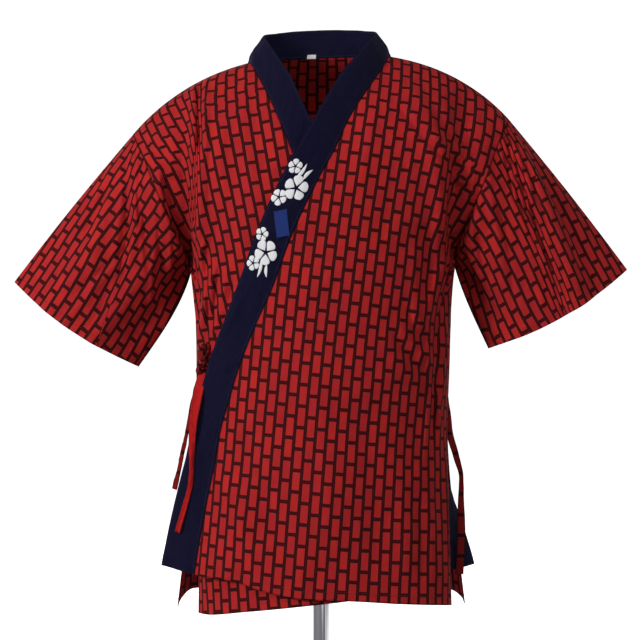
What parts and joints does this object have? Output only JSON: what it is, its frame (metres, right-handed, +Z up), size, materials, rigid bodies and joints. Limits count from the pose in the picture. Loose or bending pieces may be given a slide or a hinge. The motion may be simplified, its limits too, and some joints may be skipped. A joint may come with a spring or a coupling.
{
  "type": "short-sleeved wrap chef jacket on a limbless dress form and pole stand",
  "caption": "Kimono-style wrap chef jacket with brick print, plain collar band, wide short sleeves, side slits and cloth ties, worn by a limbless dress form on a chrome pole and round base.",
  "frame": {"origin": "centre of the whole part's bounding box in plan, on the floor under the round base", "axes": "+Z up the pole to the collar, -Y the jacket's front, +X the wearer's left"},
  "size_m": [0.7786, 0.3, 0.951],
  "materials": {
    "printed_cotton": "matt woven cotton, red bricks printed on a dark maroon-navy ground",
    "navy_cotton": "matt navy woven cotton, folded double",
    "white_label": "bare woven label",
    "blue_label": "bare woven patch",
    "form_shell": "stretched jersey over a hard torso",
    "chrome": "polished"
  },
  "bodies": {
    "root": {"back": "printed_cotton", "front_top": "printed_cotton", "front_under": "printed_cotton", "sleeve_left": "printed_cotton", "sleeve_right": "printed_cotton", "collar_band": "navy_cotton", "neck_label": "white_label", "band_patch": "blue_label", "tie_outer_knot": "printed_cotton", "tie_outer_long": "printed_cotton", "tie_outer_short": "printed_cotton", "tie_inner": "printed_cotton", "form_torso": "form_shell", "form_socket": "chrome", "pole": "chrome", "base_collar": "chrome", "base": "chrome"}
  },
  "joints": []
}
